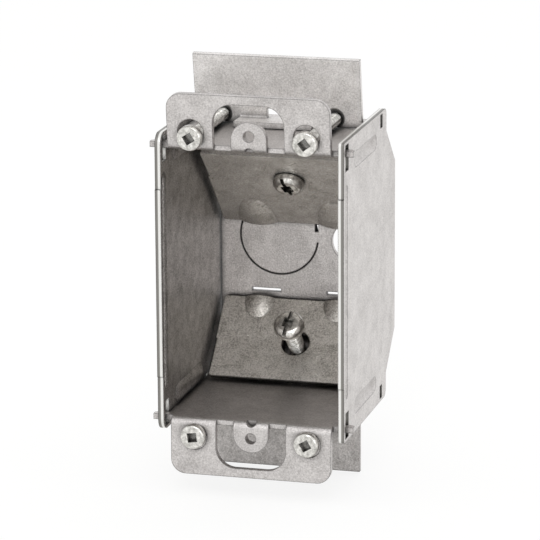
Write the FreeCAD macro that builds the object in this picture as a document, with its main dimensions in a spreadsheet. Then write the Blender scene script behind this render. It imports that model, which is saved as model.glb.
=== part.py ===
import FreeCAD, Part
import Sketcher
import math
import os

# A steel switch box for old work: a folded sheet strip closed by two flat side walls, with
# mounting ears in front, two wing plates that the ear screws draw forward, and two cable clamps.
# X runs to the right, Y into the wall, Z up. The origin lies midway between the two device
# screw holes, on the front face of the lugs.

SIZES = [
    ("sheet", 1.6, "steel sheet of the box, the side walls and the wing plates"),
    ("box_inner_half", 24.4, "middle to the inner face of a side wall"),
    ("wall_inner_half", 37.1, "middle to the inner face of the top and bottom walls"),
    ("box_depth", 58.7, "lug front face to the back of the box"),
    ("bevel_run", 14.6, "how far each rear bevel runs along Y and Z, outside"),
    ("bend_inner", 0.6, "inside radius of every sharp fold"),
    ("strip_side_gap", 0.1, "folded strip to each side wall"),
    ("back_side_gap", 0.3, "back panel edge to each side wall"),
    ("wall_rise", 2.5, "side wall edge above the top and bottom walls"),
    ("wall_rear_edge", 48.2, "upright rear stretch of a side wall above the bevel"),
    ("wall_rear_round", 2.0, "round of a side wall's rear corners"),
    ("wall_left_round", 3.2, "round of the left wall's front corners"),
    ("wall_right_round", 0.8, "round of the right wall's front corners"),
    ("wall_front_lip", 0.3, "middle of the front edge in front of its ends"),
    ("wall_lip_half", 26.0, "half length of that middle stretch"),
    ("front_slot_near", 1.5, "front slots start"),
    ("front_slot_far", 5.0, "front slots end"),
    ("front_slot_low", 33.2, "front slots, lower end above the middle"),
    ("front_slot_high", 40.3, "front slots, upper end above the middle"),
    ("rear_slot_near", 41.0, "rear slots start"),
    ("rear_slot_far", 43.5, "rear slots end"),
    ("rear_slot_low", 36.7, "rear slots, lower end above the middle"),
    ("rear_slot_high", 40.4, "rear slots, upper end above the middle"),
    ("tab_reach", 2.0, "tab end beyond the outer face of a side wall"),
    ("tab_length", 2.5, "tab along Y"),
    ("tab_bevel", 1.0, "bevel at the rear corner of a tab"),
    ("upright_bead_place", 2.9, "upright bead behind the front edge"),
    ("upright_bead_half", 29.3, "half length of the upright bead"),
    ("upright_bead_width", 2.3, "width of the upright bead"),
    ("upright_bead_depth", 0.7, "depth of the upright bead"),
    ("rib_near", 11.5, "ribs of a side wall start"),
    ("rib_far", 36.5, "ribs of a side wall end"),
    ("rib_place", 34.2, "ribs above and below the middle"),
    ("rib_width", 4.3, "width of a rib"),
    ("rib_depth", 0.9, "depth of a rib"),
    ("ear_side_gap", 2.0, "ear edge inside the inner face of a side wall"),
    ("ear_reach", 52.75, "middle to the tip of an ear"),
    ("ear_round", 4.0, "outer corners of the ears"),
    ("ear_upper_lean", 5.6, "degrees that the upper ear leans forward"),
    ("ear_lower_lean", 1.0, "degrees that the lower ear leans forward"),
    ("notch_half_width", 9.8, "half width of the notch in each ear"),
    ("notch_reach", 50.3, "middle to the closed end of a notch"),
    ("notch_round", 5.5, "corners of a notch"),
    ("notch_floor", 1.2, "cut edge of the fold in a notch, behind the front face"),
    ("lug_half_width", 4.9, "half width of a device lug"),
    ("lug_reach", 45.6, "middle to the tip of a device lug"),
    ("device_hole_place", 41.67, "middle to a device screw hole"),
    ("device_hole_radius", 1.5, "device screw hole"),
    ("device_collar_radius", 2.6, "raised rim behind a device screw hole"),
    ("device_collar_height", 1.0, "height of that rim"),
    ("lug_notch_radius", 1.4, "half-round notch in the fold under a lug"),
    ("ear_hole_spread", 15.9, "middle to an ear screw hole"),
    ("ear_hole_place", 42.25, "ear screw holes above and below the middle"),
    ("ear_hole_radius", 3.55, "ear screw hole"),
    ("ear_screw_spread", 15.8, "middle to an ear screw"),
    ("ear_screw_upper_place", 40.9, "upper ear screws above the middle"),
    ("ear_screw_lower_place", 41.8, "lower ear screws below the middle"),
    ("ear_screw_radius", 1.75, "ear screw shank"),
    ("ear_screw_length", 45.0, "ear screw under its head"),
    ("ear_head_radius", 3.45, "ear screw head"),
    ("ear_head_height", 2.3, "ear screw head"),
    ("ear_head_round", 0.8, "rounded rim of an ear screw head"),
    ("ear_socket_width", 2.6, "square socket of an ear screw"),
    ("head_seat_gap", 0.08, "screw head to the sheet it seats on"),
    ("thread_gap", 0.05, "shank to its tapped hole, all round"),
    ("wing_side_gap", 1.05, "wing plate edge inside the inner face of a side wall"),
    ("wing_reach", 57.9, "middle to the free edge of a wing plate"),
    ("wing_upper_fold", 30.6, "fold of the upper wing plate, behind the lug face"),
    ("wing_lower_fold", 28.2, "fold of the lower wing plate, behind the lug face"),
    ("wing_upper_lean", 10.0, "degrees that the upper wing plate leans forward"),
    ("wing_lower_lean", 0.0, "degrees that the lower wing plate leans forward"),
    ("wing_foot_length", 6.5, "foot of a wing plate in front of its fold"),
    ("wing_foot_half", 11.0, "half width of a wing plate's foot"),
    ("wing_foot_gap", 0.1, "foot of a wing plate to the wall it slides on"),
    ("wing_window_half", 3.2, "half width of the window above a foot"),
    ("wing_window_height", 2.7, "height of that window above the foot"),
    ("wing_dimple_radius", 2.7, "mouth of the dimple around a wing plate's screw"),
    ("wing_dimple_depth", 1.0, "depth of that dimple"),
    ("clamp_sheet", 1.5, "steel sheet of the clamps"),
    ("clamp_side_gap", 1.6, "clamp edge to the inner face of a side wall"),
    ("clamp_front_side_gap", 2.0, "clamp edge in front of its screw to a side wall"),
    ("clamp_crease", 3.0, "degrees of the crease across a clamp"),
    ("clamp_crease_back", 1.0, "crease behind the clamp screw"),
    ("clamp_hole_radius", 4.0, "clamp screw hole in a clamp"),
    ("clamp_corner_round", 0.6, "corners of a clamp"),
    ("arch_spread", 11.5, "middle between the arches to the crest of an arch"),
    ("arch_shift", 0.9, "middle between the arches left of the middle of the box"),
    ("arch_height", 1.3, "crest of an arch above the clamp"),
    ("upper_clamp_rear_gap", 0.45, "upper clamp's rear edge to the back panel"),
    ("upper_clamp_front", 13.0, "upper clamp in front of its screw"),
    ("upper_arch_half_width", 5.5, "half width of an upper arch at its mouth"),
    ("upper_arch_length", 12.0, "upper arch along the clamp"),
    ("lower_clamp_rear_gap", 0.15, "lower clamp's rear edge to the back panel"),
    ("lower_arch_half_width", 4.3, "half width of a lower arch at its mouth"),
    ("lower_arch_length", 6.7, "lower arch along the clamp"),
    ("lower_clamp_lift", 3.75, "lower clamp above the bevel that it lies over"),
    ("clamp_foot_gap", 0.1, "lower clamp's front edge to the bottom wall"),
    ("clamp_screw_forward", 0.99, "clamp screw in front of the middle of its bevel"),
    ("clamp_screw_side", 0.5, "clamp screw right of the middle of the box"),
    ("clamp_screw_out", 14.4, "clamp screw's head above the bevel's inner face"),
    ("clamp_screw_radius", 2.4, "clamp screw shank"),
    ("clamp_screw_length", 19.0, "clamp screw under its head"),
    ("clamp_head_radius", 4.4, "clamp screw head"),
    ("clamp_head_height", 2.6, "clamp screw head"),
    ("clamp_head_round", 1.8, "rounded rim of a clamp screw head"),
    ("clamp_slot_width", 1.1, "slot of a clamp screw"),
    ("clamp_socket_width", 2.9, "square socket of a clamp screw"),
    ("recess_depth", 1.3, "depth of every screw recess"),
    ("knockout_radius", 11.1, "large knockout in the back panel"),
    ("knockout_slit", 0.4, "sheared line around a knockout"),
    ("knockout_web", 0.3, "metal left between the sheared lines of both faces"),
    ("knockout_side", 7.1, "large knockout left of the middle"),
    ("knockout_up", 0.9, "large knockout above the middle"),
    ("bridge_half_angle", 8.0, "half of the angle that a knockout's bridge takes up"),
    ("pry_notch_width", 1.0, "notch at the upper end of the knockout's line, along X"),
    ("pry_notch_length", 2.0, "that notch along Z"),
    ("open_hole_radius", 5.5, "open hole in the back panel"),
    ("open_hole_side", 13.7, "open hole right of the middle"),
    ("pry_slot_width", 1.0, "pry slot in the back panel"),
    ("pry_slot_length", 8.5, "pry slot in the back panel"),
    ("pry_slot_place", 15.2, "pry slots above and below the middle"),
    ("pry_slot_inner", 6.7, "middle to the near end of a pry slot"),
    ("entry_spread", 11.5, "middle to a cable knockout in a bevel"),
    ("entry_half_width", 5.2, "half width of a cable knockout"),
    ("entry_length", 9.0, "cable knockout along the bevel"),
]


class Size:
    """A size that knows its value in millimetres and the sheet expression behind it."""

    def __init__(self, text, value):
        self.text = text
        self.value = value

    def joined(self, sign, other, value):
        return Size("(%s %s %s)" % (self.text, sign, other.text), value)

    def __add__(self, other):
        other = as_size(other)
        return self.joined("+", other, self.value + other.value)

    def __sub__(self, other):
        other = as_size(other)
        return self.joined("-", other, self.value - other.value)

    def __mul__(self, other):
        other = as_size(other)
        return self.joined("*", other, self.value * other.value)

    def __truediv__(self, other):
        other = as_size(other)
        return self.joined("/", other, self.value / other.value)

    def __neg__(self):
        return as_size(0) - self


def as_size(number):
    return number if isinstance(number, Size) else Size(repr(number), float(number))


def sine(degrees):
    return Size("sin(%s)" % degrees.text, math.sin(math.radians(degrees.value)))


def cosine(degrees):
    return Size("cos(%s)" % degrees.text, math.cos(math.radians(degrees.value)))


def tangent(degrees):
    return Size("tan(%s)" % degrees.text, math.tan(math.radians(degrees.value)))


def arc_cosine(ratio):
    return Size("(acos(%s) / 1 deg)" % ratio.text, math.degrees(math.acos(ratio.value)))


class Dimensions:
    """Every cell of the sheet by its alias, as a Size."""

    def __init__(self, document):
        self.sheet_object = document.addObject("Spreadsheet::Sheet", "Sizes")
        for row, (alias, value, note) in enumerate(SIZES, start=1):
            self.sheet_object.set("A%d" % row, note)
            self.sheet_object.set("B%d" % row, str(value))
            self.sheet_object.setAlias("B%d" % row, alias)
            setattr(self, alias, Size("Sizes." + alias, float(value)))


doc = FreeCAD.newDocument("SwitchBox")
dim = Dimensions(doc)
doc.recompute()

HALF_SQUARE = math.sqrt(0.5)
ACROSS_X = FreeCAD.Vector(1, 0, 0)

wall_outer_half = dim.wall_inner_half + dim.sheet
wall_edge = wall_outer_half + dim.wall_rise
strip_half = dim.box_inner_half - dim.strip_side_gap
bend_outer = dim.bend_inner + dim.sheet
back_inner = dim.box_depth - dim.sheet
bevel_low = wall_outer_half - dim.bevel_run
bevel_near = dim.box_depth - dim.bevel_run
bevel_outer_line = (bevel_near + wall_outer_half) * HALF_SQUARE
bevel_inner_line = bevel_outer_line - dim.sheet
fold_centre_height = wall_outer_half + dim.bend_inner
ear_half = dim.box_inner_half - dim.ear_side_gap
wing_half = dim.box_inner_half - dim.wing_side_gap
clamp_screw_place = (dim.box_depth - wall_outer_half) * HALF_SQUARE - dim.clamp_screw_forward
line_depth = (dim.sheet - dim.knockout_web) / 2


def bind(item, name, size):
    item.setExpression(name, as_size(size).text)


def new_body(name):
    body = doc.addObject("PartDesign::Body", name)
    body.Label = name
    return body


def origin_plane(body, role):
    return [item for item in body.Origin.OriginFeatures if item.Role == role][0]


def new_sketch(body, plane, shift=(0, 0, 0), turn=0.0):
    """A sketch on an origin plane, shifted in the sketch's own axes and turned about its U axis."""
    sketch = body.newObject("Sketcher::SketchObject", body.Name + "_sketch")
    sketch.AttachmentSupport = (origin_plane(body, plane), [""])
    sketch.MapMode = "FlatFace"
    sketch.AttachmentOffset = FreeCAD.Placement(FreeCAD.Vector(), FreeCAD.Rotation(ACROSS_X, turn))
    for axis, distance in zip("xyz", shift):
        bind(sketch, "AttachmentOffset.Base." + axis, distance)
    return sketch


def fix_distance(sketch, kind, geometry, point, size):
    size = as_size(size)
    index = sketch.addConstraint(Sketcher.Constraint(kind, -1, 1, geometry, point, size.value))
    bind(sketch, "Constraints[%d]" % index, size)


def fix_point(sketch, geometry, point, u, v):
    fix_distance(sketch, "DistanceX", geometry, point, u)
    fix_distance(sketch, "DistanceY", geometry, point, v)


def add_circle(sketch, u, v, radius):
    u, v, radius = as_size(u), as_size(v), as_size(radius)
    centre = FreeCAD.Vector(u.value, v.value, 0)
    circle = sketch.addGeometry(Part.Circle(centre, FreeCAD.Vector(0, 0, 1), radius.value))
    fix_point(sketch, circle, 3, u, v)
    index = sketch.addConstraint(Sketcher.Constraint("Radius", circle, radius.value))
    bind(sketch, "Constraints[%d]" % index, radius)


class Corner:
    """A corner of an outline. With a centre, the edge that arrives there is an arc about it."""

    def __init__(self, u, v, centre=None, clockwise=False):
        self.u = as_size(u)
        self.v = as_size(v)
        self.centre = [as_size(size) for size in centre] if centre else None
        self.clockwise = clockwise
        self.place = FreeCAD.Vector(self.u.value, self.v.value, 0)


def add_arc(sketch, start, end):
    """The arc from one corner to the next: its number and which of its ends comes first and last."""
    centre = FreeCAD.Vector(end.centre[0].value, end.centre[1].value, 0)
    first, last = (end, start) if end.clockwise else (start, end)
    angles = [math.atan2(item.place.y - centre.y, item.place.x - centre.x) for item in (first, last)]
    if angles[1] <= angles[0]:
        angles[1] += 2 * math.pi
    circle = Part.Circle(centre, FreeCAD.Vector(0, 0, 1), (start.place - centre).Length)
    arc = sketch.addGeometry(Part.ArcOfCircle(circle, angles[0], angles[1]))
    fix_point(sketch, arc, 3, end.centre[0], end.centre[1])
    entry, leave = (2, 1) if end.clockwise else (1, 2)
    reach = end.place - centre
    if abs(reach.y) > abs(reach.x):
        fix_distance(sketch, "DistanceX", arc, leave, end.u)
    else:
        fix_distance(sketch, "DistanceY", arc, leave, end.v)
    return arc, entry, leave


def add_line(sketch, start, end):
    line = sketch.addGeometry(Part.LineSegment(start.place, end.place))
    fix_point(sketch, line, 2, end.u, end.v)
    return line, 1, 2


def add_outline(sketch, corners):
    """A closed loop through the corners, each held by its own two sizes."""
    edges = []
    for start, end in zip([corners[-1]] + corners[:-1], corners):
        edges.append(add_arc(sketch, start, end) if end.centre else add_line(sketch, start, end))
    for (before, _, leave), (after, entry, _) in zip([edges[-1]] + edges[:-1], edges):
        sketch.addConstraint(Sketcher.Constraint("Coincident", before, leave, after, entry))


def add_rectangle(sketch, low_u, low_v, high_u, high_v):
    around = [(low_u, low_v), (high_u, low_v), (high_u, high_v), (low_u, high_v)]
    add_outline(sketch, [Corner(u, v) for u, v in around])


def pad(body, sketch, length, both_ways=False, backwards=False):
    feature = body.newObject("PartDesign::Pad", body.Name + "_pad")
    feature.Profile = sketch
    feature.SideType = "Symmetric" if both_ways else "One side"
    feature.Reversed = backwards
    bind(feature, "Length", length)
    doc.recompute()
    return feature


def check_cut(body, feature, volume):
    doc.recompute()
    if not feature.Shape.Volume < volume - 1e-6:
        raise ValueError("%s in %s removes nothing" % (feature.Name, body.Label))
    return feature


def pocket(body, sketch, length, both_ways=False, backwards=False):
    """A cut to a depth. It runs against the sketch's normal unless it is backwards."""
    volume = body.Shape.Volume
    feature = body.newObject("PartDesign::Pocket", body.Name + "_pocket")
    feature.Profile = sketch
    feature.SideType = "Symmetric" if both_ways else "One side"
    feature.Reversed = backwards
    bind(feature, "Length", length)
    return check_cut(body, feature, volume)


def spin(body, kind, sketch, angle):
    """A turned feature about the sketch's V axis, half of its angle on each side."""
    feature = body.newObject("PartDesign::" + kind, body.Name + "_" + kind.lower())
    feature.Profile = sketch
    feature.ReferenceAxis = (sketch, ["V_Axis"])
    feature.Midplane = True
    bind(feature, "Angle", angle)
    return feature


def round_edges(body, radius, is_wanted, kind="Fillet"):
    """Rounds or bevels the edges of the body whose middle point passes the test."""
    base = body.Tip
    names = []
    for number, edge in enumerate(base.Shape.Edges, start=1):
        middle = edge.valueAt((edge.FirstParameter + edge.LastParameter) / 2)
        if is_wanted(edge, middle):
            names.append("Edge%d" % number)
    if not names:
        raise ValueError("no edge to round in " + body.Label)
    feature = body.newObject("PartDesign::" + kind, body.Name + "_" + kind.lower())
    feature.Base = (base, names)
    bind(feature, "Radius" if kind == "Fillet" else "Size", radius)
    doc.recompute()
    return feature


def runs_along(edge, axis):
    ends = edge.Vertexes
    if len(ends) < 2:
        return False
    way = ends[1].Point - ends[0].Point
    return abs(getattr(way, axis)) > 0.98 * way.Length


def is_near(first, second):
    return abs(first - as_size(second).value) < 0.05


def set_place(body, x=0, y=0, z=0, rotation=None):
    body.Placement = FreeCAD.Placement(FreeCAD.Vector(), rotation or FreeCAD.Rotation())
    for axis, distance in zip("xyz", (x, y, z)):
        bind(body, "Placement.Base." + axis, distance)


def about_x(degrees):
    return FreeCAD.Rotation(ACROSS_X, degrees)


# The folded strip: top wall, bevel, back panel, bevel and bottom wall in one piece


def add_channel(body):
    """The closed run of the strip from the upper fold round the back to the lower fold."""
    corner_shift = dim.sheet * (math.sqrt(2) - 1)
    sketch = new_sketch(body, "YZ_Plane")
    upper = [
        (bend_outer, wall_outer_half),
        (bevel_near, wall_outer_half),
        (dim.box_depth, bevel_low),
    ]
    inner = [
        (back_inner, bevel_low - corner_shift),
        (bevel_near - corner_shift, dim.wall_inner_half),
        (bend_outer, dim.wall_inner_half),
    ]
    outside = upper + [(y, -z) for y, z in reversed(upper)]
    inside = [(y, -z) for y, z in reversed(inner)] + inner
    add_outline(sketch, [Corner(y, z) for y, z in outside + inside])
    pad(body, sketch, strip_half * 2, both_ways=True)
    bevel_ends = (dim.box_depth.value, bevel_near.value)
    inner_ends = (back_inner.value, (bevel_near - corner_shift).value)
    round_edges(body, bend_outer, lambda edge, middle: runs_along(edge, "x")
                and any(is_near(middle.y, place) for place in bevel_ends))
    round_edges(body, dim.bend_inner, lambda edge, middle: runs_along(edge, "x")
                and any(is_near(middle.y, place) for place in inner_ends))


def add_fold(body, side, lean, reach, half_width):
    """A leaf folded up or down from the front edge of a wall, leaning forward by some degrees."""
    lean_sine, lean_cosine = sine(lean), cosine(lean)
    length = (reach - fold_centre_height + bend_outer * lean_sine) / lean_cosine

    def on_leaf(radius, along):
        along = as_size(along)
        y = bend_outer - radius * lean_cosine - along * lean_sine
        z = fold_centre_height - radius * lean_sine + along * lean_cosine
        return y, z * side

    centre = (bend_outer, fold_centre_height * side)
    sketch = new_sketch(body, "YZ_Plane")
    add_outline(sketch, [
        Corner(bend_outer, wall_outer_half * side),
        Corner(bend_outer, dim.wall_inner_half * side),
        Corner(*on_leaf(bend_outer, 0), centre=centre, clockwise=side > 0),
        Corner(*on_leaf(bend_outer, length)),
        Corner(*on_leaf(dim.bend_inner, length)),
        Corner(*on_leaf(dim.bend_inner, 0)),
        Corner(bend_outer, wall_outer_half * side, centre=centre, clockwise=side < 0),
    ][1:])
    pad(body, sketch, half_width * 2, both_ways=True)


def add_ear(body, side, lean):
    """An ear with its notch, the device lug that stands in the notch, and their holes."""
    before_ear = -dim.ear_head_height * 3
    add_fold(body, side, lean, dim.ear_reach, ear_half)
    round_edges(body, dim.ear_round, lambda edge, middle: is_near(abs(middle.x), ear_half)
                and abs(middle.z - side * dim.ear_reach.value) < 0.5
                and edge.Length < 1.2 * dim.sheet.value)

    leaf_notch = new_sketch(body, "XZ_Plane", (0, 0, -before_ear))
    half, top, turn = dim.notch_half_width, dim.notch_reach, dim.notch_round
    add_outline(leaf_notch, [
        Corner(-half, wall_outer_half * side),
        Corner(half, wall_outer_half * side),
        Corner(half, (top - turn) * side),
        Corner(half - turn, top * side, centre=(half - turn, (top - turn) * side), clockwise=side < 0),
        Corner(turn - half, top * side),
        Corner(-half, (top - turn) * side, centre=(turn - half, (top - turn) * side), clockwise=side < 0),
    ])
    pocket(body, leaf_notch, bend_outer - before_ear)
    fold_notch = new_sketch(body, "XZ_Plane", (0, 0, -before_ear))
    inside = dim.wall_inner_half - dim.sheet
    low, high = sorted([inside * side, fold_centre_height * side], key=lambda size: size.value)
    add_rectangle(fold_notch, -half, low, half, high)
    pocket(body, fold_notch, dim.notch_floor - before_ear)

    add_fold(body, side, as_size(0), dim.lug_reach, dim.lug_half_width)
    round_edges(body, dim.lug_half_width * 0.98, lambda edge, middle: runs_along(edge, "y")
                and is_near(abs(middle.x), dim.lug_half_width)
                and is_near(middle.z, dim.lug_reach * side))
    collar = new_sketch(body, "XZ_Plane", (0, 0, -dim.sheet * 0.5))
    add_circle(collar, 0, dim.device_hole_place * side, dim.device_collar_radius)
    pad(body, collar, dim.sheet * 0.5 + dim.device_collar_height, backwards=True)

    holes = new_sketch(body, "XZ_Plane", (0, 0, -before_ear))
    for hand in (-1, 1):
        add_circle(holes, dim.ear_hole_spread * hand, dim.ear_hole_place * side, dim.ear_hole_radius)
    add_circle(holes, 0, dim.device_hole_place * side, dim.device_hole_radius)
    pocket(body, holes, bend_outer + dim.device_collar_height * 2 - before_ear)
    fold_gap = new_sketch(body, "XZ_Plane", (0, 0, -before_ear))
    add_circle(fold_gap, 0, dim.wall_inner_half * side, dim.lug_notch_radius)
    pocket(body, fold_gap, bend_outer - before_ear)


def add_tabs(body, side):
    """Two tabs of a wall, one through the front slot of each side wall."""
    base = dim.wall_inner_half if side > 0 else -wall_outer_half
    sketch = new_sketch(body, "XY_Plane", (0, 0, base))
    tip = dim.box_inner_half + dim.sheet + dim.tab_reach
    rear = bend_outer + dim.tab_length
    for hand in (-1, 1):
        add_outline(sketch, [
            Corner((strip_half - 1) * hand, bend_outer),
            Corner(tip * hand, bend_outer),
            Corner(tip * hand, rear - dim.tab_bevel),
            Corner((tip - dim.tab_bevel) * hand, rear),
            Corner((strip_half - 1) * hand, rear),
        ])
    pad(body, sketch, dim.sheet)


def add_knockout(body):
    """The sheared line round the large knockout, on both faces, and its pry notch inside."""
    inner, outer = dim.knockout_radius, dim.knockout_radius + dim.knockout_slit
    centre = (-dim.knockout_side, dim.knockout_up)
    rise, run = sine(dim.bridge_half_angle), cosine(dim.bridge_half_angle)

    def on_line(radius, side):
        return centre[0] + radius * run, centre[1] + radius * rise * side

    for face, outside in ((dim.box_depth, True), (back_inner, False)):
        sketch = new_sketch(body, "XZ_Plane", (0, 0, -face))
        for side in (1, -1):
            add_outline(sketch, [
                Corner(*on_line(outer, side)),
                Corner(centre[0] - outer, centre[1], centre=centre, clockwise=side < 0),
                Corner(centre[0] - inner, centre[1]),
                Corner(*on_line(inner, side), centre=centre, clockwise=side > 0),
            ])
        pocket(body, sketch, line_depth, backwards=outside)

    notch = new_sketch(body, "XZ_Plane", (0, 0, -back_inner))
    right, low = on_line(outer, 1)
    add_rectangle(notch, right - dim.pry_notch_width, low, right, low + dim.pry_notch_length)
    pocket(body, notch, dim.sheet - dim.knockout_web)


def add_back_holes(body):
    """The open hole and the four pry slots of the back panel."""
    sketch = new_sketch(body, "XZ_Plane", (0, 0, -dim.box_depth - 1))
    add_circle(sketch, dim.open_hole_side, 0, dim.open_hole_radius)
    for hand in (-1, 1):
        for side in (-1, 1):
            ends = sorted([dim.pry_slot_inner * hand, (dim.pry_slot_inner + dim.pry_slot_length) * hand],
                          key=lambda size: size.value)
            low = dim.pry_slot_place * side - dim.pry_slot_width / 2
            add_rectangle(sketch, ends[0], low, ends[1], low + dim.pry_slot_width)
    pocket(body, sketch, dim.sheet + 2, backwards=True)


def add_back_gaps(body):
    """The back panel is a little narrower than the walls that it is folded from."""
    sketch = new_sketch(body, "XZ_Plane", (0, 0, -dim.box_depth - 1))
    edge = dim.box_inner_half - dim.back_side_gap
    for hand in (-1, 1):
        ends = sorted([edge * hand, dim.box_inner_half * hand], key=lambda size: size.value)
        add_rectangle(sketch, ends[0], -bevel_low, ends[1], bevel_low)
    pocket(body, sketch, dim.sheet * 2 + 1, backwards=True)


def new_bevel_sketch(body, side, out):
    """A sketch square to a bevel, at a distance out from the middle of the box."""
    sketch = new_sketch(body, "XZ_Plane", turn=45.0 * side)
    bind(sketch, "AttachmentOffset.Base.y", out * HALF_SQUARE * side)
    bind(sketch, "AttachmentOffset.Base.z", -out * HALF_SQUARE)
    return sketch


def add_bevel_holes(body, side):
    """The tapped hole for a clamp screw and the lines of two cable knockouts, square to a bevel."""
    place = -clamp_screw_place * side
    line = dim.knockout_slit
    near, far = place + dim.entry_length / 2, place - dim.entry_length / 2
    for face, outside in ((bevel_outer_line, True), (bevel_inner_line, False)):
        sketch = new_bevel_sketch(body, side, face)
        for hand in (-1, 1):
            middle = dim.entry_spread * hand
            low, high = middle - dim.entry_half_width, middle + dim.entry_half_width
            add_outline(sketch, [
                Corner(low, near), Corner(low, far), Corner(high, far), Corner(high, near),
                Corner(high - line, near), Corner(high - line, far + line),
                Corner(low + line, far + line), Corner(low + line, near),
            ])
        pocket(body, sketch, line_depth, backwards=outside)
    tapped = new_bevel_sketch(body, side, bevel_outer_line)
    add_circle(tapped, dim.clamp_screw_side, place, dim.clamp_screw_radius + dim.thread_gap)
    pocket(body, tapped, dim.sheet * 2, backwards=True)


def make_box_body():
    body = new_body("box_body")
    add_channel(body)
    add_ear(body, 1, dim.ear_upper_lean)
    add_ear(body, -1, dim.ear_lower_lean)
    add_tabs(body, 1)
    add_tabs(body, -1)
    add_knockout(body)
    add_back_holes(body)
    add_back_gaps(body)
    add_bevel_holes(body, 1)
    add_bevel_holes(body, -1)
    return body


# The side walls: flat sheets with slots, an upright bead and two ribs pressed inward


def add_bead(body, hand, plane, across, start, end, width, depth):
    """A round-ended channel pressed inward: a groove outside and the same form raised inside."""
    radius = (width * width / 4 + depth * depth) / (depth * 2)
    axis = (dim.sheet + radius - depth) * hand
    level = -across if plane == "XZ_Plane" else across
    near, far = start + width / 2, end - width / 2

    def capsule(reach):
        sketch = new_sketch(body, plane, (axis, 0, level))
        add_outline(sketch, [
            Corner(0, near - reach),
            Corner(reach * -hand, near, centre=(0, near), clockwise=hand > 0),
            Corner(reach * -hand, far),
            Corner(0, far + reach, centre=(0, far), clockwise=hand > 0),
        ])
        return sketch

    spin(body, "Revolution", capsule(radius + dim.sheet), arc_cosine((radius - depth) / radius) * 2)
    doc.recompute()
    volume = body.Shape.Volume
    check_cut(body, spin(body, "Groove", capsule(radius), 360), volume)


def add_wall_outline(body, hand, front_round):
    """The flat blank of a side wall, with its longer middle stretch in front and bevelled rear."""
    sketch = new_sketch(body, "YZ_Plane")
    rear, rear_round = dim.wall_rear_edge, dim.wall_rear_round
    bevel_top = bevel_low + dim.box_depth - rear
    upper = [
        (-dim.wall_front_lip, dim.wall_lip_half, None),
        (0, dim.wall_lip_half, None),
        (0, wall_edge - front_round, None),
        (front_round, wall_edge, (front_round, wall_edge - front_round)),
        (rear - rear_round, wall_edge, None),
        (rear, wall_edge - rear_round, (rear - rear_round, wall_edge - rear_round)),
        (rear, bevel_top, None),
        (dim.box_depth, bevel_low, None),
    ]
    corners = [Corner(y, z, centre, clockwise=True) for y, z, centre in upper]
    centres = [None] + [centre for _, _, centre in reversed(upper)][:-1]
    for (y, z, _), centre in zip(reversed(upper), centres):
        turned = (centre[0], -centre[1]) if centre else None
        corners.append(Corner(y, -as_size(z), turned, clockwise=True))
    add_outline(sketch, corners)
    pad(body, sketch, dim.sheet, backwards=hand < 0)


def make_side_wall(name, hand, front_round):
    body = new_body(name)
    add_wall_outline(body, hand, front_round)
    slots = new_sketch(body, "YZ_Plane")
    for side in (-1, 1):
        for near, far, low, high in [
            (dim.front_slot_near, dim.front_slot_far, dim.front_slot_low, dim.front_slot_high),
            (dim.rear_slot_near, dim.rear_slot_far, dim.rear_slot_low, dim.rear_slot_high),
        ]:
            ends = sorted([low * side, high * side], key=lambda size: size.value)
            add_rectangle(slots, near, ends[0], far, ends[1])
    pocket(body, slots, dim.sheet * 4, both_ways=True)
    half = dim.upright_bead_half
    add_bead(body, hand, "XZ_Plane", dim.upright_bead_place, -half, half,
             dim.upright_bead_width, dim.upright_bead_depth)
    for side in (-1, 1):
        add_bead(body, hand, "XY_Plane", dim.rib_place * side, dim.rib_near, dim.rib_far,
                 dim.rib_width, dim.rib_depth)
    trim = new_sketch(body, "YZ_Plane", (0, 0, dim.sheet * hand))
    add_rectangle(trim, -dim.wall_front_lip, -wall_edge, dim.box_depth, wall_edge)
    pocket(body, trim, dim.rib_width, backwards=hand > 0)
    set_place(body, dim.box_inner_half * hand)
    return body


# The clamps: nearly flat plates, creased behind the screw, with two domed arches at the rear

ARCH_STEPS = (0.98, 0.85, 0.65, 0.35, 0)


def add_arch(body, middle, back, half_width, length):
    """One arch: half of a dome raised over the rear edge and hollow under it."""

    def section(step, base, share):
        """A cross-section at a share of the arch's length. The outline seen from above is an ellipse."""
        width = half_width * share * math.sqrt(1 - step * step)
        height = dim.arch_height * share * (1 - step * step)
        sketch = new_sketch(body, "XZ_Plane", (0, 0, length * step - back))
        centre = (middle, base + height - (width * width + height * height) / (height * 2))
        add_outline(sketch, [
            Corner(middle + width, base),
            Corner(middle, base + height, centre=centre),
            Corner(middle - width, base, centre=centre),
        ])
        return sketch

    for kind, base, share in (("AdditiveLoft", as_size(0), 1.0), ("SubtractiveLoft", -dim.clamp_sheet, 0.8)):
        sections = [section(step, base, share) for step in ARCH_STEPS]
        volume = body.Shape.Volume
        loft = body.newObject("PartDesign::" + kind, body.Name + "_arch")
        loft.Profile = sections[0]
        loft.Sections = sections[1:]
        doc.recompute()
        if kind == "SubtractiveLoft":
            check_cut(body, loft, volume)


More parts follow.
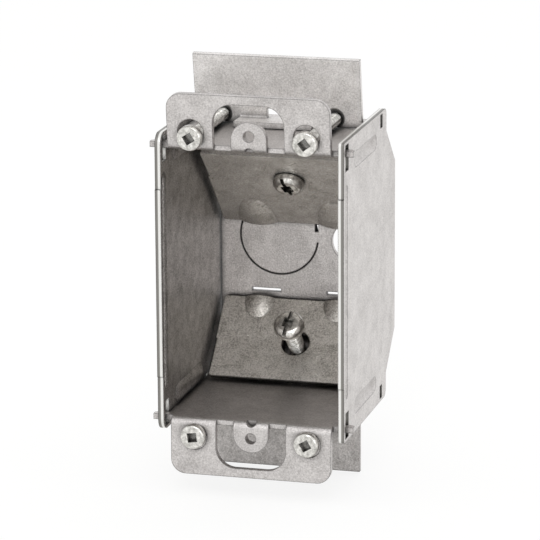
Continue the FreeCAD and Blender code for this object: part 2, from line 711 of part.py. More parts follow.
def make_clamp(name, hand, back, front, arch_half_width, arch_length):
    """A clamp in its own frame: the rear edge along Y, the visible face up, X to the right by hand."""
    body = new_body(name)
    half = dim.box_inner_half - dim.clamp_side_gap
    front_half = dim.box_inner_half - dim.clamp_front_side_gap
    crease = dim.clamp_crease_back
    drop = tangent(dim.clamp_crease) * (front + crease)
    plate = new_sketch(body, "YZ_Plane")
    add_outline(plate, [
        Corner(-front, drop), Corner(crease, 0), Corner(back, 0), Corner(back, -dim.clamp_sheet),
        Corner(crease, -dim.clamp_sheet), Corner(-front, drop - dim.clamp_sheet),
    ])
    pad(body, plate, half * 2, both_ways=True)
    above, cut = dim.clamp_sheet * 2, dim.clamp_sheet * 4
    jog = new_sketch(body, "XY_Plane", (0, 0, above))
    for end in (-1, 1):
        ends = sorted([front_half * end, (half + 1) * end], key=lambda size: size.value)
        add_rectangle(jog, ends[0], -front - 1, ends[1], 0)
    pocket(body, jog, cut)
    round_edges(body, dim.clamp_corner_round, lambda edge, middle: runs_along(edge, "z")
                and (is_near(middle.y, back) or is_near(middle.y, -front)))
    for end in (-1, 1):
        add_arch(body, (dim.arch_spread * end - dim.arch_shift) * hand, back, arch_half_width, arch_length)
    hole = new_sketch(body, "XY_Plane", (0, 0, above))
    add_circle(hole, dim.clamp_screw_side * hand, 0, dim.clamp_hole_radius)
    pocket(body, hole, cut)
    return body


def on_bevel(side, along, height):
    """A point over a bevel: along it towards the back panel and a height above its inner face."""
    out = bevel_inner_line - height
    y = (out + along) * HALF_SQUARE
    z = (out - along) * HALF_SQUARE * side
    return y, z


# The screws: turned blanks with a recess, the underside of the head at their origin


def make_screw(name, radius, length, head_radius, head_height, head_round, socket, slot=None):
    body = new_body(name)
    point = radius * 0.3
    profile = new_sketch(body, "XZ_Plane")
    top = head_height - head_round
    add_outline(profile, [
        Corner(0, -length),
        Corner(radius - point, -length),
        Corner(radius, point - length),
        Corner(radius, 0),
        Corner(head_radius, 0),
        Corner(head_radius, top),
        Corner(head_radius - head_round, head_height, centre=(head_radius - head_round, top)),
        Corner(0, head_height),
    ])
    spin(body, "Revolution", profile, 360)
    doc.recompute()
    recess = new_sketch(body, "XY_Plane", (0, 0, head_height))
    add_rectangle(recess, -socket / 2, -socket / 2, socket / 2, socket / 2)
    pocket(body, recess, dim.recess_depth)
    if slot:
        cut = new_sketch(body, "XY_Plane", (0, 0, head_height))
        add_rectangle(cut, -slot / 2, -head_radius - 1, slot / 2, head_radius + 1)
        pocket(body, cut, dim.recess_depth * 0.7)
    return body


def make_ear_screws():
    for name, side, place, lean in [
        ("upper", 1, dim.ear_screw_upper_place, dim.ear_upper_lean),
        ("lower", -1, dim.ear_screw_lower_place, dim.ear_lower_lean),
    ]:
        overlap = place + dim.ear_head_radius / 3 - wall_outer_half
        seat = -(tangent(lean) * overlap + dim.head_seat_gap)
        for hand_name, hand in (("left", -1), ("right", 1)):
            body = make_screw("ear_screw_%s_%s" % (name, hand_name), dim.ear_screw_radius,
                              dim.ear_screw_length, dim.ear_head_radius, dim.ear_head_height,
                              dim.ear_head_round, dim.ear_socket_width)
            set_place(body, dim.ear_screw_spread * hand, seat, place * side, about_x(90))


def make_clamp_screw(name, side):
    body = make_screw(name, dim.clamp_screw_radius, dim.clamp_screw_length, dim.clamp_head_radius,
                      dim.clamp_head_height, dim.clamp_head_round, dim.clamp_socket_width,
                      dim.clamp_slot_width)
    y, z = on_bevel(side, clamp_screw_place, dim.clamp_screw_out)
    set_place(body, dim.clamp_screw_side, y, z, about_x(90 + 45 * side))


# The wing plates: a leaf across the box with a foot that slides on the wall


def add_dimple(body, across, height, front_face, hole):
    """The conical mouth of a tapped hole, sunk into the front face of a wing plate."""
    sketch = new_sketch(body, "XY_Plane", (across, 0, height))
    mouth, depth = dim.wing_dimple_radius, dim.wing_dimple_depth
    add_outline(sketch, [
        Corner(0, front_face - depth),
        Corner(mouth * 2 - hole, front_face - depth),
        Corner(0, front_face + mouth * depth / (mouth - hole)),
    ])
    volume = body.Shape.Volume
    check_cut(body, spin(body, "Groove", sketch, 360), volume)


def make_wing_plate(name, side, fold, lean, screw_place):
    body = new_body(name)
    base = wall_outer_half + dim.wing_foot_gap
    inner = base + dim.sheet
    lean_sine, lean_cosine = sine(lean), cosine(lean)
    rise = (dim.wing_reach - inner) / lean_cosine
    heel = fold + dim.sheet * (lean_sine + 1) / lean_cosine
    leaf = new_sketch(body, "YZ_Plane")
    tip_y = fold - rise * lean_sine
    add_outline(leaf, [
        Corner(fold + dim.sheet * tangent(lean), base * side),
        Corner(heel, base * side),
        Corner(tip_y + dim.sheet * lean_cosine, (dim.wing_reach + dim.sheet * lean_sine) * side),
        Corner(tip_y, dim.wing_reach * side),
    ])
    pad(body, leaf, wing_half * 2, both_ways=True)
    foot = new_sketch(body, "YZ_Plane")
    low, high = sorted([base * side, inner * side], key=lambda size: size.value)
    add_rectangle(foot, fold - dim.wing_foot_length, low, fold + dim.sheet / 2, high)
    pad(body, foot, dim.wing_foot_half * 2, both_ways=True)
    round_edges(body, dim.sheet * 0.9, lambda edge, middle: runs_along(edge, "x")
                and is_near(middle.y, heel) and is_near(middle.z, base * side))
    round_edges(body, dim.bend_inner, lambda edge, middle: runs_along(edge, "x")
                and is_near(middle.y, fold) and is_near(middle.z, inner * side))

    openings = new_sketch(body, "XZ_Plane")
    hole = dim.ear_screw_radius + dim.thread_gap
    for hand in (-1, 1):
        add_circle(openings, dim.ear_screw_spread * hand, screw_place * side, hole)
    low, high = sorted([inner * side, (inner + dim.wing_window_height) * side], key=lambda size: size.value)
    add_rectangle(openings, -dim.wing_window_half, low, dim.wing_window_half, high)
    pocket(body, openings, fold * 2)
    front_face = fold - (screw_place - inner) * tangent(lean)
    for hand in (-1, 1):
        add_dimple(body, dim.ear_screw_spread * hand, screw_place * side, front_face, hole)
    return body


def clamp_back(height, rear_gap):
    """A clamp's length behind its screw, for its visible face at a height over the bevel."""
    rear_corner = (back_inner - rear_gap) / HALF_SQUARE
    return rear_corner - (bevel_inner_line - height + dim.clamp_sheet) - clamp_screw_place


def make_clamps():
    rise = tangent(dim.clamp_crease) * (dim.clamp_head_radius + dim.clamp_crease_back)
    upper_height = dim.clamp_screw_out - dim.head_seat_gap - rise
    upper = make_clamp("upper_clamp", -1, clamp_back(upper_height, dim.upper_clamp_rear_gap),
                       dim.upper_clamp_front, dim.upper_arch_half_width, dim.upper_arch_length)
    y, z = on_bevel(1, clamp_screw_place, upper_height)
    set_place(upper, 0, y, z, about_x(-45) * FreeCAD.Rotation(FreeCAD.Vector(0, 1, 0), 180))

    lower_height = dim.lower_clamp_lift + dim.clamp_sheet
    y, z = on_bevel(-1, clamp_screw_place, lower_height)
    room = dim.wall_inner_half + z - dim.clamp_foot_gap - dim.clamp_sheet * HALF_SQUARE
    lower = make_clamp("lower_clamp", 1, clamp_back(lower_height, dim.lower_clamp_rear_gap),
                       room / HALF_SQUARE, dim.lower_arch_half_width, dim.lower_arch_length)
    set_place(lower, 0, y, z, about_x(45))


def build_all():
    make_box_body()
    make_side_wall("left_side", -1, dim.wall_left_round)
    make_side_wall("right_side", 1, dim.wall_right_round)
    make_clamps()
    make_clamp_screw("upper_clamp_screw", 1)
    make_clamp_screw("lower_clamp_screw", -1)
    make_wing_plate("upper_wing_plate", 1, dim.wing_upper_fold, dim.wing_upper_lean,
                    dim.ear_screw_upper_place)
    make_wing_plate("lower_wing_plate", -1, dim.wing_lower_fold, dim.wing_lower_lean,
                    dim.ear_screw_lower_place)
    make_ear_screws()


def write_parts():
    doc.recompute()
    failed = [item.Name for item in doc.Objects if "Invalid" in item.State or "Error" in item.State]
    if failed:
        raise ValueError("failed: " + ", ".join(failed))
    bodies = [item for item in doc.Objects if item.TypeId == "PartDesign::Body"]
    for body in bodies:
        if body.Shape.isNull() or not body.Shape.isValid() or len(body.Shape.Solids) != 1:
            raise ValueError("bad shape: " + body.Label)
    os.makedirs("parts", exist_ok=True)
    for body in bodies:
        body.Shape.exportStep("parts/%s.step" % body.Label)


build_all()
write_parts()
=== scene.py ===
import bpy
import math
from mathutils import Matrix, Vector


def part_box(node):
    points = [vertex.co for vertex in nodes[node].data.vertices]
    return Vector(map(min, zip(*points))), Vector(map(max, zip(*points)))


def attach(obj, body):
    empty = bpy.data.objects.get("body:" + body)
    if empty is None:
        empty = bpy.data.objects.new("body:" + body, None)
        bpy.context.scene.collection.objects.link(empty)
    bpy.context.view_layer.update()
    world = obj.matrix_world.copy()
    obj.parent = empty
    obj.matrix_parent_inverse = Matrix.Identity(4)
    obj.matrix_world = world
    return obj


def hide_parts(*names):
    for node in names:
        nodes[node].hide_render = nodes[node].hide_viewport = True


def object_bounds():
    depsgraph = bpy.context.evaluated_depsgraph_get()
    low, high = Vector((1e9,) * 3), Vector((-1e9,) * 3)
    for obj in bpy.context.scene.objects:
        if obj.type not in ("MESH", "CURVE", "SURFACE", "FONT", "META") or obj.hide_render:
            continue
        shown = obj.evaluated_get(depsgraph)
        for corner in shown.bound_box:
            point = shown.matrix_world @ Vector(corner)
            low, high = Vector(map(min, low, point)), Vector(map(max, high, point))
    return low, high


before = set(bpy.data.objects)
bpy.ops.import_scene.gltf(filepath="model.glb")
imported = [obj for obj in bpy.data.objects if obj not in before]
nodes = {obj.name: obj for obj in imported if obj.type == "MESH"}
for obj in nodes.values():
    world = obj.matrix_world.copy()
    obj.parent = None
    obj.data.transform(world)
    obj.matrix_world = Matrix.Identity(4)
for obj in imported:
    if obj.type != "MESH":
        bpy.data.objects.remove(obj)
cad_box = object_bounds()


# The folded strip is the body of the box: top, bevels, back and bottom in one length of steel
# sheet, zinc coated by hot dipping. It is pierced flat, folded, and its ears and device lugs
# are turned out in front.
MM = 0.001
STRIP_CLOUD, SHEET_CRYSTAL = 7 * MM, 2.2 * MM
# The shares are parts of the mottle, and the painted shades are what painted shade leaves of the
# colour in hollows, corners and along rims.
CRYSTAL_SHARE, GRAIN_SHARE = 0.15, 0.6
SEAM_REACH, SEAM_PAINTED_SHADE = 2.2 * MM, 0.1
RIM_ROUND, RIM_PAINTED_SHADE = 0.35 * MM, 0.42
ROUGHNESS_RANGE = 0.16
# The tooth of the real coating is finer than a pixel, so it is drawn as coarse as it needs to
# show, with a height to match.
GRAIN, GRAIN_HEIGHT = 0.45 * MM, 0.2 * MM


def linear(code):
    """A colour written as sRGB hex, such as #b8b6b2, for a shader's linear socket."""
    channels = [int(code[place:place + 2], 16) / 255 for place in (1, 3, 5)]
    return [c / 12.92 if c <= 0.04045 else ((c + 0.055) / 1.055) ** 2.4 for c in channels] + [1.0]


def add_node(tree, kind, settings=None, inputs=None, links=None):
    """A node with its settings, the values of its inputs, and links from other nodes' outputs."""
    node = tree.nodes.new(kind)
    for name, value in (settings or {}).items():
        setattr(node, name, value)
    for name, value in (inputs or {}).items():
        node.inputs[name].default_value = value
    for name, (source, output) in (links or {}).items():
        tree.links.new(source.outputs[output], node.inputs[name])
    return node


def new_material(name):
    """An empty material and its node tree."""
    material = bpy.data.materials.new(name)
    material.use_nodes = True
    material.node_tree.nodes.clear()
    return material, material.node_tree


def galvanised_steel(name, dark, pale, cloud_size, crystal_size, spread=0.16, metallic=1.0,
                     dull=0.46, cut_edge=None):
    """Hot-dip zinc on steel sheet: dull silver grey, clouded, with crystals some 2 mm across and
    a fine tooth that breaks up its reflections. Hollows and corners are darkened with painted
    shade, and the rims, whose edges are softly rounded, get a painted dark outline of shade. A
    small spread gives strong contrast, and dull is how rough its darkest spots are. cut_edge adds
    the look of an edge that was cut."""
    material, tree = new_material(name)
    place = add_node(tree, "ShaderNodeTexCoord")
    cloud = add_node(tree, "ShaderNodeTexNoise",
                     inputs={"Scale": 1 / cloud_size, "Detail": 5.0, "Roughness": 0.65},
                     links={"Vector": (place, "Object")})
    crystal = add_node(tree, "ShaderNodeTexVoronoi",
                       inputs={"Scale": 1 / crystal_size, "Randomness": 1.0},
                       links={"Vector": (place, "Object")})
    crystal_grey = add_node(tree, "ShaderNodeRGBToBW", links={"Color": (crystal, "Color")})
    grain = add_node(tree, "ShaderNodeTexNoise",
                     inputs={"Scale": 1 / GRAIN, "Detail": 2.0, "Roughness": 0.7},
                     links={"Vector": (place, "Object")})
    coating = add_node(tree, "ShaderNodeMix", {"data_type": "FLOAT"}, {"Factor": CRYSTAL_SHARE},
                       {"A": (cloud, "Fac"), "B": (crystal_grey, "Val")})
    mottle = add_node(tree, "ShaderNodeMix", {"data_type": "FLOAT"}, {"Factor": GRAIN_SHARE},
                      {"A": (coating, "Result"), "B": (grain, "Fac")})
    share = add_node(tree, "ShaderNodeMapRange",
                     inputs={"From Min": 0.5 - spread, "From Max": 0.5 + spread},
                     links={"Value": (mottle, "Result")})
    shade = add_node(tree, "ShaderNodeMix", {"data_type": "RGBA"},
                     {6: linear(dark), 7: linear(pale)}, {"Factor": (share, "Result")})
    if cut_edge:
        shade = cut_edge(tree, place, shade)

    # Occlusion darkens hollows and corners of the colour: painted shade.
    hollow_occlusion = add_node(tree, "ShaderNodeAmbientOcclusion", {"samples": 10}, {"Distance": SEAM_REACH})
    hollow_painted_shade = add_node(tree, "ShaderNodeMapRange",
                     inputs={"From Min": 0.3, "From Max": 0.94,
                             "To Min": SEAM_PAINTED_SHADE, "To Max": 1.0},
                     links={"Value": (hollow_occlusion, "AO")})
    soft_edge = add_node(tree, "ShaderNodeBevel", {"samples": 6}, {"Radius": RIM_ROUND})
    true_face = add_node(tree, "ShaderNodeNewGeometry")
    turn = add_node(tree, "ShaderNodeVectorMath", {"operation": "DOT_PRODUCT"},
                    links={0: (soft_edge, "Normal"), 1: (true_face, "True Normal")})
    # Where the rounded normal turns from the true face, rims and folds darken: a painted dark
    # outline of shade.
    rim_painted_outline = add_node(tree, "ShaderNodeMapRange",
                      inputs={"From Min": 0.97, "From Max": 1.0,
                              "To Min": RIM_PAINTED_SHADE, "To Max": 1.0},
                      links={"Value": (turn, "Value")})
    # Both darkenings are painted shade laid into the colour.
    painted_seam_and_rim_shade = add_node(tree, "ShaderNodeMath", {"operation": "MULTIPLY"},
                    links={0: (hollow_painted_shade, "Result"), 1: (rim_painted_outline, "Result")})
    colour = add_node(tree, "ShaderNodeMix", {"data_type": "RGBA", "blend_type": "MULTIPLY"},
                      {"Factor": 1.0}, {6: (shade, 2), 7: (painted_seam_and_rim_shade, "Value")})
    rough = add_node(tree, "ShaderNodeMapRange",
                     inputs={"From Min": 0.3, "From Max": 0.7,
                             "To Min": dull, "To Max": dull - ROUGHNESS_RANGE},
                     links={"Value": (mottle, "Result")})
    bump = add_node(tree, "ShaderNodeBump", inputs={"Strength": 1.0, "Distance": GRAIN_HEIGHT},
                    links={"Height": (mottle, "Result"), "Normal": (soft_edge, "Normal")})
    shader = add_node(tree, "ShaderNodeBsdfPrincipled", inputs={"Metallic": metallic},
                      links={"Base Color": (colour, 2), "Roughness": (rough, "Result"),
                             "Normal": (bump, "Normal")})
    add_node(tree, "ShaderNodeOutputMaterial", links={"Surface": (shader, "BSDF")})
    return material


def dress(node, material):
    """Gives a CAD node one material all over."""
    mesh = nodes[node].data
    mesh.materials.clear()
    mesh.materials.append(material)


dress("box_body", galvanised_steel("galvanised_sheet", "#b0acaa", "#e0dcda",
                                   STRIP_CLOUD, SHEET_CRYSTAL, spread=0.14))


# The two side walls are flat blanks sheared from the same sheet, with beads and ribs pressed
# inward that stiffen them. They close the strip left and right, and its tabs lock them. The
# left one shows its inside, which is painted darker as shade.
SHEET = 1.6 * MM
SHEAR_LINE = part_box("right_side")[1].x - SHEET / 2
SHEAR_BLUR = 0.1 * MM
EDGE_FACES_X = 0.5    # a face that looks along X by less than this is part of the edge
# The burnished colour carries a painted highlight, and the fractured one painted shade.
BURNISHED_AND_HIGHLIT, TORN_AND_SHADED = "#f0efec", "#8a8884"
RIGHT_CLOUD, LEFT_CLOUD = 7 * MM, 5 * MM


def sheared_edge(tree, place, face):
    """The edge of a blank that stands across X, in place of the shade of its faces: on the inner
    half of the sheet a burnished band painted bright as a highlight, and on the outer half a
    fractured band painted darker as shade."""
    facing = add_node(tree, "ShaderNodeNewGeometry")
    normal = add_node(tree, "ShaderNodeSeparateXYZ", links={"Vector": (facing, "True Normal")})
    across = add_node(tree, "ShaderNodeMath", {"operation": "ABSOLUTE"}, links={0: (normal, "X")})
    on_edge = add_node(tree, "ShaderNodeMath", {"operation": "LESS_THAN"}, {1: EDGE_FACES_X},
                       {0: (across, "Value")})
    spot = add_node(tree, "ShaderNodeSeparateXYZ", links={"Vector": (place, "Object")})
    depth = add_node(tree, "ShaderNodeMath", {"operation": "ABSOLUTE"}, links={0: (spot, "X")})
    torn_and_shaded_half = add_node(tree, "ShaderNodeMapRange",
                    inputs={"From Min": SHEAR_LINE - SHEAR_BLUR,
                            "From Max": SHEAR_LINE + SHEAR_BLUR},
                    links={"Value": (depth, "Value")})
    # Painted highlight on the inner half of the edge, painted shade on the outer half.
    edge = add_node(tree, "ShaderNodeMix", {"data_type": "RGBA"},
                    {6: linear(BURNISHED_AND_HIGHLIT), 7: linear(TORN_AND_SHADED)}, {"Factor": (torn_and_shaded_half, "Result")})
    return add_node(tree, "ShaderNodeMix", {"data_type": "RGBA"},
                    links={"Factor": (on_edge, "Value"), 6: (face, 2), 7: (edge, 2)})


# The right wall's colour is painted a little lighter than the strip's, as light on its face.
dress("right_side", galvanised_steel("galvanised_sheared_blank", "#bab6b4", "#e9e5e3",
                                     RIGHT_CLOUD, SHEET_CRYSTAL, cut_edge=sheared_edge))
# The left wall's darker colour is painted shade of the inside of the box.
dress("left_side", galvanised_steel("galvanised_sheared_blank_painted_shade", "#95918d", "#e4e0dd",
                                    LEFT_CLOUD, SHEET_CRYSTAL, spread=0.12,
                                    cut_edge=sheared_edge))


# The clamps are stamped plates of thinner coated sheet, creased behind the screw. Two domed
# arches at the rear edge leave room for a cable. The upper one is painted lighter as light,
# and the lower one darker as shade.
CLAMP_CLOUD, CLAMP_CRYSTAL = 4 * MM, 2.6 * MM
# The upper clamp's lighter colour is painted light.
dress("upper_clamp", galvanised_steel("galvanised_clamp_plate", "#c2beb8", "#fffcf8",
                                      CLAMP_CLOUD, CLAMP_CRYSTAL, spread=0.11, metallic=0.85,
                                      dull=0.32))
# The lower clamp's darker colour is painted shade.
dress("lower_clamp", galvanised_steel("galvanised_clamp_plate_painted_shade", "#96928b", "#eae6e1",
                                      CLAMP_CLOUD, CLAMP_CRYSTAL, spread=0.13, metallic=0.85,
                                      dull=0.4))


# The two clamp screws are steel machine screws with 32 threads to the inch, cold headed and
# thread rolled, with a bright clear zinc plate. The head is round, with a square socket and a
# slot across it. Each passes through its clamp and is driven into a tapped hole in a bevel.
THREAD_PITCH = 25.4 * MM / 32
THREAD_DEPTH = 0.55 * THREAD_PITCH
FLANK, CREST = 0.4 * THREAD_PITCH, 0.2 * THREAD_PITCH
THREAD_SIDES = 28
BELOW_TIP, SPARE_TURNS = 1.3 * THREAD_PITCH, 4
SHANK_IN_HEAD = 0.5 * MM
WELD, CUT_TOLERANCE = 0.001 * MM, 0.0001 * MM
HEAD_SIDES, HEAD_ROUND_STEPS = 64, 6
HEAD_CHAMFER = 0.15 * MM
SMOOTH_UP_TO = math.radians(28)
CLAMP_SHANK, CLAMP_LENGTH = 2.4 * MM, 19.0 * MM
CLAMP_HEAD, CLAMP_HEAD_HEIGHT, CLAMP_HEAD_ROUND = 4.4 * MM, 2.6 * MM, 1.8 * MM
CLAMP_SOCKET, CLAMP_SLOT = 2.9 * MM, 1.1 * MM
SOCKET_DEPTH, SLOT_DEPTH = 2.0 * MM, 0.9 * MM
PLATE_CLOUD, PLATE_ROUND, PLATE_BUMP = 1.2 * MM, 0.12 * MM, 0.03 * MM
RECESS_REACH, RECESS_PAINTED_SHADE = 2.4 * MM, 0.04


def zinc_plate(name, dark, pale):
    """Bright clear zinc plate on a rolled screw: smoother and shinier than the sheet, faintly
    clouded, and darkened with painted shade in the recess and at the root of the thread."""
    material, tree = new_material(name)
    place = add_node(tree, "ShaderNodeTexCoord")
    cloud = add_node(tree, "ShaderNodeTexNoise",
                     inputs={"Scale": 1 / PLATE_CLOUD, "Detail": 4.0, "Roughness": 0.6},
                     links={"Vector": (place, "Object")})
    share = add_node(tree, "ShaderNodeMapRange", inputs={"From Min": 0.35, "From Max": 0.65},
                     links={"Value": (cloud, "Fac")})
    shade = add_node(tree, "ShaderNodeMix", {"data_type": "RGBA"},
                     {6: linear(dark), 7: linear(pale)}, {"Factor": (share, "Result")})
    # Occlusion darkens the recess and the root of the thread: painted shade.
    hollow_occlusion = add_node(tree, "ShaderNodeAmbientOcclusion", {"samples": 8}, {"Distance": RECESS_REACH})
    hollow_painted_shade = add_node(tree, "ShaderNodeMapRange",
                     inputs={"From Min": 0.25, "From Max": 0.82,
                             "To Min": RECESS_PAINTED_SHADE, "To Max": 1.0},
                     links={"Value": (hollow_occlusion, "AO")})
    colour = add_node(tree, "ShaderNodeMix", {"data_type": "RGBA", "blend_type": "MULTIPLY"},
                      {"Factor": 1.0}, {6: (shade, 2), 7: (hollow_painted_shade, "Result")})
    rough = add_node(tree, "ShaderNodeMapRange",
                     inputs={"From Min": 0.3, "From Max": 0.7, "To Min": 0.26, "To Max": 0.14},
                     links={"Value": (cloud, "Fac")})
    soft_edge = add_node(tree, "ShaderNodeBevel", {"samples": 4}, {"Radius": PLATE_ROUND})
    bump = add_node(tree, "ShaderNodeBump", inputs={"Strength": 0.2, "Distance": PLATE_BUMP},
                    links={"Height": (cloud, "Fac"), "Normal": (soft_edge, "Normal")})
    shader = add_node(tree, "ShaderNodeBsdfPrincipled", inputs={"Metallic": 1.0},
                      links={"Base Color": (colour, 2), "Roughness": (rough, "Result"),
                             "Normal": (bump, "Normal")})
    add_node(tree, "ShaderNodeOutputMaterial", links={"Surface": (shader, "BSDF")})
    return material


def use_modifier(piece, kind, **settings):
    """Adds a modifier to a piece and applies it."""
    bpy.ops.object.select_all(action="DESELECT")
    bpy.context.view_layer.objects.active = piece
    piece.select_set(True)
    modifier = piece.modifiers.new(kind.lower(), kind)
    for name, value in settings.items():
        setattr(modifier, name, value)
    bpy.ops.object.modifier_apply(modifier=modifier.name)


def turned_blank(name, rings):
    """A turned solid, from rings of height and radius, the first one a flat face below."""
    bpy.ops.object.select_all(action="DESELECT")
    low, radius = rings[0]
    bpy.ops.mesh.primitive_circle_add(vertices=HEAD_SIDES, radius=radius, fill_type="NGON",
                                      location=(0, 0, low))
    blank = bpy.context.object
    blank.name = name
    bpy.ops.object.transform_apply(location=True)
    bpy.ops.object.mode_set(mode="EDIT")
    for (low, inner), (high, outer) in zip(rings, rings[1:]):
        bpy.ops.mesh.extrude_region_move(TRANSFORM_OT_translate={"value": (0, 0, high - low)})
        scale = outer / inner
        bpy.ops.transform.resize(value=(scale, scale, 1), center_override=(0, 0, high))
    bpy.ops.mesh.select_all(action="SELECT")
    bpy.ops.mesh.normals_make_consistent(inside=False)
    bpy.ops.object.mode_set(mode="OBJECT")
    return blank


def rolled_thread(name, shank, length):
    """A threaded shank below the origin: one tooth, swept up the screw from below its tip to
    above its top, and cut off flat at both."""
    bpy.ops.object.select_all(action="DESELECT")
    root = shank - THREAD_DEPTH
    bpy.ops.mesh.primitive_plane_add(size=THREAD_PITCH, location=(root, 0, -length - BELOW_TIP))
    thread = bpy.context.object
    thread.name = name
    bpy.ops.object.mode_set(mode="EDIT")
    bpy.ops.mesh.merge(type="CENTER")
    for outwards, rise in ((THREAD_DEPTH, FLANK), (0, CREST), (-THREAD_DEPTH, FLANK)):
        bpy.ops.mesh.extrude_region_move(TRANSFORM_OT_translate={"value": (outwards, 0, rise)})
    bpy.ops.object.mode_set(mode="OBJECT")
    bpy.ops.object.transform_apply(location=True)
    turns = int(length / THREAD_PITCH) + SPARE_TURNS
    use_modifier(thread, "SCREW", angle=2 * math.pi, screw_offset=THREAD_PITCH, iterations=turns,
                 steps=THREAD_SIDES, render_steps=THREAD_SIDES, use_merge_vertices=True,
                 merge_threshold=WELD)
    bpy.ops.object.mode_set(mode="EDIT")
    bpy.ops.mesh.select_all(action="SELECT")
    bpy.ops.mesh.remove_doubles(threshold=WELD)
    for height, up in ((-length, -1), (SHANK_IN_HEAD, 1)):
        bpy.ops.mesh.select_all(action="SELECT")
        bpy.ops.mesh.bisect(plane_co=(0, 0, height), plane_no=(0, 0, up), use_fill=True,
                            clear_outer=True, threshold=CUT_TOLERANCE)
    bpy.ops.mesh.select_all(action="SELECT")
    bpy.ops.mesh.normals_make_consistent(inside=False)
    bpy.ops.object.mode_set(mode="OBJECT")
    return thread


def cut_away(piece, size, place):
    """Cuts a square-cornered pocket, given by its size and middle, out of a piece."""
    bpy.ops.object.select_all(action="DESELECT")
    bpy.ops.mesh.primitive_cube_add(size=1, location=place)
    cutter = bpy.context.object
    cutter.scale = size
    bpy.ops.object.transform_apply(location=True, scale=True)
    use_modifier(piece, "BOOLEAN", operation="DIFFERENCE", object=cutter, solver="EXACT")
    bpy.data.objects.remove(cutter)


def machine_screw(name, shank, length, head, head_height, head_round, socket):
    """A screw along Z, the underside of its head at the origin. shank and head are radii, and
    socket is the width of the square socket."""
    rings = [(0, head - HEAD_CHAMFER), (HEAD_CHAMFER, head)]
    for step in range(HEAD_ROUND_STEPS + 1):
        turn = math.pi / 2 * step / HEAD_ROUND_STEPS
        rings.append((head_height - head_round + head_round * math.sin(turn),
                      head - head_round + head_round * math.cos(turn)))
    screw = turned_blank(name, rings)
    thread = rolled_thread(name + "_thread", shank, length)
    use_modifier(screw, "BOOLEAN", operation="UNION", object=thread, solver="EXACT")
    bpy.data.objects.remove(thread)
    cut_away(screw, (socket, socket, SOCKET_DEPTH * 2), (0, 0, head_height))
    return screw


def set_screw(node, pattern, seat, tilt, turned):
    """A copy of a screw in place of a CAD node. Its head tilts from Z towards -Y, and its recess
    is turned, both in degrees."""
    screw = pattern.copy()
    screw.data = pattern.data.copy()
    screw.name = node + "_threaded"
    bpy.context.scene.collection.objects.link(screw)
    screw.matrix_world = (Matrix.Translation(seat) @ Matrix.Rotation(math.radians(tilt), 4, "X")
                          @ Matrix.Rotation(math.radians(turned), 4, "Z"))
    bpy.ops.object.select_all(action="DESELECT")
    bpy.context.view_layer.objects.active = screw
    screw.select_set(True)
    bpy.ops.object.transform_apply(location=True, rotation=True)
    bpy.ops.object.shade_smooth_by_angle(angle=SMOOTH_UP_TO)
    screw.data.materials.clear()
    screw.data.materials.append(screw_steel)
    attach(screw, node)
    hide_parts(node)
    return screw


screw_steel = zinc_plate("bright_zinc_plate", "#b2b0ab", "#f2f0eb")
clamp_screw = machine_screw("clamp_screw", CLAMP_SHANK, CLAMP_LENGTH, CLAMP_HEAD,
                            CLAMP_HEAD_HEIGHT, CLAMP_HEAD_ROUND, CLAMP_SOCKET)
# The slot's cutter is longer than the head is wide, so that the slot is open at both ends.
cut_away(clamp_screw, (CLAMP_SLOT, CLAMP_HEAD * 3, SLOT_DEPTH * 2), (0, 0, CLAMP_HEAD_HEIGHT))
# How far the rounded rim of a head that leans at 45 degrees stands out from its seat.
half_square = math.sqrt(0.5)
head_corner = ((CLAMP_HEAD_HEIGHT + CLAMP_HEAD - 2 * CLAMP_HEAD_ROUND) * half_square
               + CLAMP_HEAD_ROUND)
for node, tilt, turned in (("upper_clamp_screw", 135, 15), ("lower_clamp_screw", 45, -8)):
    low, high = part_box(node)
    seat_z = low.z + head_corner if tilt > 90 else high.z - head_corner
    seat = Vector(((low.x + high.x) / 2, low.y + head_corner, seat_z))
    set_screw(node, clamp_screw, seat, tilt, turned)
bpy.data.objects.remove(clamp_screw)


# The wing plates are plain stamped leaves of the same sheet, drawn forward by the ear screws
# until they grip the back of the wall board. Their coating is more matt. The upper one is
# painted lighter as light, and the lower one darker as shade.
WING_CLOUD, WING_CRYSTAL = 6 * MM, 2.4 * MM
# The upper wing plate's lighter colour is painted light.
dress("upper_wing_plate", galvanised_steel("galvanised_wing_plate", "#c0bcb9", "#fffcfa",
                                           WING_CLOUD, WING_CRYSTAL, metallic=0.45))
# The lower wing plate's darker colour is painted shade.
dress("lower_wing_plate", galvanised_steel("galvanised_wing_plate_painted_shade", "#96928f", "#dad6d4",
                                           WING_CLOUD, WING_CRYSTAL, metallic=0.7))


# The four ear screws are longer and thinner, of the same steel and plate, with flat-topped
# heads and square sockets. Each turns in a hole of an ear and is threaded into a wing plate.
EAR_SHANK, EAR_LENGTH = 1.75 * MM, 45.0 * MM
EAR_HEAD, EAR_HEAD_HEIGHT, EAR_HEAD_ROUND = 3.45 * MM, 2.3 * MM, 0.8 * MM
EAR_SOCKET = 2.6 * MM
ear_screw = machine_screw("ear_screw", EAR_SHANK, EAR_LENGTH, EAR_HEAD, EAR_HEAD_HEIGHT,
                          EAR_HEAD_ROUND, EAR_SOCKET)
for place, turned in (("upper_left", 32), ("upper_right", 38),
                      ("lower_left", 8), ("lower_right", 30)):
    node = "ear_screw_" + place
    low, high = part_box(node)
    seat = Vector(((low.x + high.x) / 2, low.y + EAR_HEAD_HEIGHT, (low.z + high.z) / 2))
    set_screw(node, ear_screw, seat, 90, turned)
bpy.data.objects.remove(ear_screw)


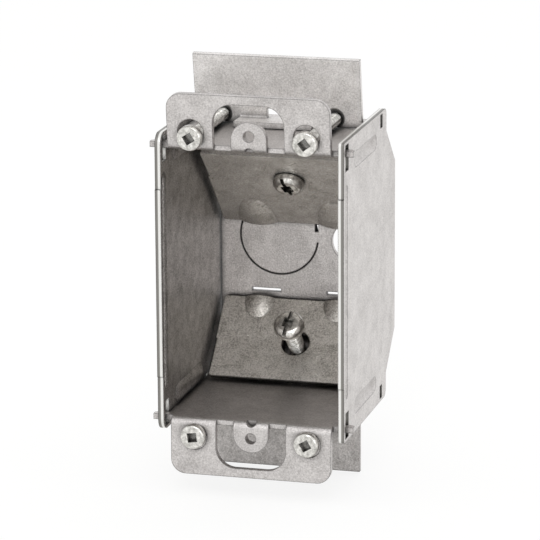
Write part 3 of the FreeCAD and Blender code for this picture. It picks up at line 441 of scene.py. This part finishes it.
# The floor and the sky around it: a pale sweep. It shows white to the camera and in the metal,
# and keeps a faint shadow of the box.
FLOOR_GAP, FLOOR_SIZE = 1 * MM, 12.0
FLOOR_PAINT = "#f4f4f2"
GLOW, GLOW_IN_METAL, GLOW_MORE_IN_VIEW = 1.04, 0.6, 0.2
SKY_LIGHT, SKY_IN_VIEW = 0.9, 1.0
WHITE = (1, 1, 1, 1)


def rays_in_view(tree, path):
    """Whether a ray shows the background: it is the camera's, or metal or glass sends it on."""
    mirror = add_node(tree, "ShaderNodeMath", {"operation": "MAXIMUM"},
                      links={0: (path, "Is Glossy Ray"), 1: (path, "Is Transmission Ray")})
    return add_node(tree, "ShaderNodeMath", {"operation": "MAXIMUM"},
                    links={0: (path, "Is Camera Ray"), 1: (mirror, "Value")})


bpy.ops.object.select_all(action="DESELECT")
bpy.ops.mesh.primitive_plane_add(size=FLOOR_SIZE, location=(0, 0, cad_box[0].z - FLOOR_GAP))
floor = bpy.context.object
floor.name = "floor"
floor_material, tree = new_material("pale_floor")
path = add_node(tree, "ShaderNodeLightPath")
seen = rays_in_view(tree, path)
paint = add_node(tree, "ShaderNodeBsdfDiffuse", inputs={"Color": linear(FLOOR_PAINT)})
glow = add_node(tree, "ShaderNodeEmission", inputs={"Color": WHITE, "Strength": GLOW})
mirrored = add_node(tree, "ShaderNodeMath", {"operation": "MULTIPLY"}, {1: GLOW_IN_METAL},
                    {0: (seen, "Value")})
share = add_node(tree, "ShaderNodeMath", {"operation": "MULTIPLY_ADD"}, {1: GLOW_MORE_IN_VIEW},
                 {0: (path, "Is Camera Ray"), 2: (mirrored, "Value")})
mixed = add_node(tree, "ShaderNodeMixShader",
                 links={"Fac": (share, "Value"), 1: (paint, "BSDF"), 2: (glow, "Emission")})
add_node(tree, "ShaderNodeOutputMaterial", links={"Surface": (mixed, "Shader")})
floor.data.materials.append(floor_material)

world = bpy.data.worlds.new("studio")
world.use_nodes = True
bpy.context.scene.world = world
tree = world.node_tree
tree.nodes.clear()
path = add_node(tree, "ShaderNodeLightPath")
seen = rays_in_view(tree, path)
plain = add_node(tree, "ShaderNodeBackground", inputs={"Color": WHITE, "Strength": SKY_LIGHT})
white = add_node(tree, "ShaderNodeBackground", inputs={"Color": WHITE, "Strength": SKY_IN_VIEW})
mixed = add_node(tree, "ShaderNodeMixShader",
                 links={"Fac": (seen, "Value"), 1: (plain, "Background"), 2: (white, "Background")})
add_node(tree, "ShaderNodeOutputWorld", links={"Surface": (mixed, "Shader")})


# Two soft boxes, aimed at the middle of the box: the stronger one high in front, and a wider
# one low at the front right, which brightens the folds round the mouth of the box.
CENTRE = (0, 0.025, 0)


def soft_box(name, place, target, size, watts):
    """A square lamp at a place, turned to its target."""
    lamp = bpy.data.lights.new(name, "AREA")
    lamp.shape = "SQUARE"
    lamp.size = size
    lamp.energy = watts
    light = bpy.data.objects.new(name, lamp)
    light.location = place
    light.rotation_euler = (Vector(place) - Vector(target)).to_track_quat("Z", "Y").to_euler()
    bpy.context.scene.collection.objects.link(light)


soft_box("key", (0.2, -1.1, 1.0), CENTRE, 0.6, 3.5)
soft_box("fill", (0.9, -1.3, 0.2), CENTRE, 0.8, 2.5)


# The camera of the photograph, found from the known spacing of the device screw holes and the
# straight edges of the box: a long lens, slightly above and to the right.
AZIMUTH, ELEVATION, ROLL = (math.radians(angle) for angle in (15.29, 14.44, -0.32))
DISTANCE = 0.9617
LENS, SENSOR = 234.2, 36
TARGET = Vector((-1.13, 25.0, -0.88)) * MM
NEAREST, FARTHEST = 0.01, 100

forward = Vector((-math.sin(AZIMUTH) * math.cos(ELEVATION),
                  math.cos(AZIMUTH) * math.cos(ELEVATION), -math.sin(ELEVATION)))
level = Vector((math.cos(AZIMUTH), math.sin(AZIMUTH), 0))
upright = level.cross(forward)
right = level * math.cos(ROLL) + upright * math.sin(ROLL)
up = upright * math.cos(ROLL) - level * math.sin(ROLL)
camera = bpy.data.objects.new("camera", bpy.data.cameras.new("camera"))
camera.data.lens = LENS
camera.data.sensor_width = SENSOR
camera.data.clip_start, camera.data.clip_end = NEAREST, FARTHEST
turn = Matrix((right, up, -forward)).transposed().to_4x4()
camera.matrix_world = Matrix.Translation(TARGET - forward * DISTANCE) @ turn
bpy.context.scene.collection.objects.link(camera)
bpy.context.scene.camera = camera
bpy.context.scene.view_settings.view_transform = "Standard"
